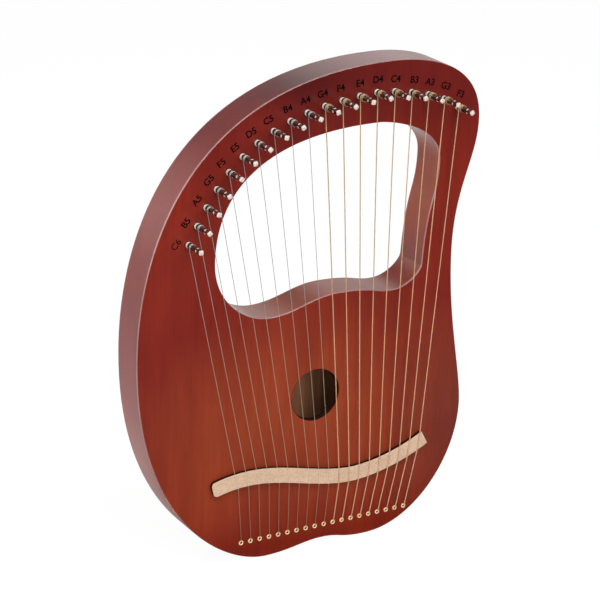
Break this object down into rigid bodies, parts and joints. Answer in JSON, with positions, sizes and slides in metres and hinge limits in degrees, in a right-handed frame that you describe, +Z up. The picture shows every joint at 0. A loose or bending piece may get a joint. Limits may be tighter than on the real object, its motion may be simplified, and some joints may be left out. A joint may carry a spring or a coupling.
{
  "type": "lyre harp",
  "caption": "Hollow lyre harp of red lacquered wood, with an open string window, a round sound hole, a pale S-shaped bridge, and strings tuned by turning metal pins.",
  "frame": {"origin": "centre of the bounding box on the ground, under the two bottom lobes", "axes": "+Z up the harp, -Y out of the front face towards the player's view, +X to the right seen from the front (towards the lowest string)"},
  "size_m": [0.351, 0.0636, 0.466],
  "materials": {
    "lacquered_mahogany": "satin clear lacquer over red stain",
    "bare_wood": "unfinished",
    "maple": "bare, sanded",
    "nickel_pin": "bright nickel plate",
    "steel_string": "plain music wire",
    "bronze_string": "bronze winding on steel"
  },
  "bodies": {
    "root": {"soundboard": "lacquered_mahogany", "back_board": "lacquered_mahogany", "outer_rim": "lacquered_mahogany", "inner_rim": "lacquered_mahogany", "pin_block": "bare_wood", "tail_block": "bare_wood", "left_front_lining": "bare_wood", "left_back_lining": "bare_wood", "right_front_lining": "bare_wood", "right_back_lining": "bare_wood", "soundboard_upper_brace": "bare_wood", "soundboard_lower_brace": "bare_wood", "back_upper_brace": "bare_wood", "back_lower_brace": "bare_wood", "sound_hole_ring": "bare_wood", "bridge": "maple", "string_c6": "steel_string", "string_b5": "steel_string", "string_a5": "steel_string", "string_g5": "steel_string", "string_f5": "steel_string", "string_e5": "steel_string", "string_d5": "steel_string", "string_c5": "steel_string", "string_b4": "steel_string", "string_a4": "steel_string", "string_g4": "bronze_string", "string_f4": "bronze_string", "string_e4": "bronze_string", "string_d4": "bronze_string", "string_c4": "bronze_string", "string_b3": "bronze_string", "string_a3": "bronze_string", "string_g3": "bronze_string", "string_f3": "bronze_string"},
    "pin_c6": {"tuning_pin_c6": "nickel_pin"},
    "pin_b5": {"tuning_pin_b5": "nickel_pin"},
    "pin_a5": {"tuning_pin_a5": "nickel_pin"},
    "pin_g5": {"tuning_pin_g5": "nickel_pin"},
    "pin_f5": {"tuning_pin_f5": "nickel_pin"},
    "pin_e5": {"tuning_pin_e5": "nickel_pin"},
    "pin_d5": {"tuning_pin_d5": "nickel_pin"},
    "pin_c5": {"tuning_pin_c5": "nickel_pin"},
    "pin_b4": {"tuning_pin_b4": "nickel_pin"},
    "pin_a4": {"tuning_pin_a4": "nickel_pin"},
    "pin_g4": {"tuning_pin_g4": "nickel_pin"},
    "pin_f4": {"tuning_pin_f4": "nickel_pin"},
    "pin_e4": {"tuning_pin_e4": "nickel_pin"},
    "pin_d4": {"tuning_pin_d4": "nickel_pin"},
    "pin_c4": {"tuning_pin_c4": "nickel_pin"},
    "pin_b3": {"tuning_pin_b3": "nickel_pin"},
    "pin_a3": {"tuning_pin_a3": "nickel_pin"},
    "pin_g3": {"tuning_pin_g3": "nickel_pin"},
    "pin_f3": {"tuning_pin_f3": "nickel_pin"}
  },
  "joints": [
    {"name": "tune_c6", "type": "hinge", "parent": "root", "child": "pin_c6", "pos_m": [-0.1265, -0.00625, 0.322], "axis": [0, 1, 0], "range_deg": [-1080, 60]},
    {"name": "tune_b5", "type": "hinge", "parent": "root", "child": "pin_b5", "pos_m": [-0.11835, -0.00625, 0.33823], "axis": [0, 1, 0], "range_deg": [-1080, 60]},
    {"name": "tune_a5", "type": "hinge", "parent": "root", "child": "pin_a5", "pos_m": [-0.1095, -0.00625, 0.35409], "axis": [0, 1, 0], "range_deg": [-1080, 60]},
    {"name": "tune_g5", "type": "hinge", "parent": "root", "child": "pin_g5", "pos_m": [-0.09951, -0.00625, 0.36925], "axis": [0, 1, 0], "range_deg": [-1080, 60]},
    {"name": "tune_f5", "type": "hinge", "parent": "root", "child": "pin_f5", "pos_m": [-0.08794, -0.00625, 0.38325], "axis": [0, 1, 0], "range_deg": [-1080, 60]},
    {"name": "tune_e5", "type": "hinge", "parent": "root", "child": "pin_e5", "pos_m": [-0.07477, -0.00625, 0.39574], "axis": [0, 1, 0], "range_deg": [-1080, 60]},
    {"name": "tune_d5", "type": "hinge", "parent": "root", "child": "pin_d5", "pos_m": [-0.06012, -0.00625, 0.40644], "axis": [0, 1, 0], "range_deg": [-1080, 60]},
    {"name": "tune_c5", "type": "hinge", "parent": "root", "child": "pin_c5", "pos_m": [-0.04426, -0.00625, 0.41527], "axis": [0, 1, 0], "range_deg": [-1080, 60]},
    {"name": "tune_b4", "type": "hinge", "parent": "root", "child": "pin_b4", "pos_m": [-0.02754, -0.00625, 0.42235], "axis": [0, 1, 0], "range_deg": [-1080, 60]},
    {"name": "tune_a4", "type": "hinge", "parent": "root", "child": "pin_a4", "pos_m": [-0.01024, -0.00625, 0.42785], "axis": [0, 1, 0], "range_deg": [-1080, 60]},
    {"name": "tune_g4", "type": "hinge", "parent": "root", "child": "pin_g4", "pos_m": [0.00744, -0.00625, 0.432], "axis": [0, 1, 0], "range_deg": [-1080, 60]},
    {"name": "tune_f4", "type": "hinge", "parent": "root", "child": "pin_f4", "pos_m": [0.02535, -0.00625, 0.43503], "axis": [0, 1, 0], "range_deg": [-1080, 60]},
    {"name": "tune_e4", "type": "hinge", "parent": "root", "child": "pin_e4", "pos_m": [0.04338, -0.00625, 0.43716], "axis": [0, 1, 0], "range_deg": [-1080, 60]},
    {"name": "tune_d4", "type": "hinge", "parent": "root", "child": "pin_d4", "pos_m": [0.0615, -0.00625, 0.4385], "axis": [0, 1, 0], "range_deg": [-1080, 60]},
    {"name": "tune_c4", "type": "hinge", "parent": "root", "child": "pin_c4", "pos_m": [0.08001, -0.00625, 0.43722], "axis": [0, 1, 0], "range_deg": [-1080, 60]},
    {"name": "tune_b3", "type": "hinge", "parent": "root", "child": "pin_b3", "pos_m": [0.09837, -0.00625, 0.43446], "axis": [0, 1, 0], "range_deg": [-1080, 60]},
    {"name": "tune_a3", "type": "hinge", "parent": "root", "child": "pin_a3", "pos_m": [0.11647, -0.00625, 0.43034], "axis": [0, 1, 0], "range_deg": [-1080, 60]},
    {"name": "tune_g3", "type": "hinge", "parent": "root", "child": "pin_g3", "pos_m": [0.13402, -0.00625, 0.42432], "axis": [0, 1, 0], "range_deg": [-1080, 60]},
    {"name": "tune_f3", "type": "hinge", "parent": "root", "child": "pin_f3", "pos_m": [0.15, -0.00625, 0.415], "axis": [0, 1, 0], "range_deg": [-1080, 60]}
  ]
}
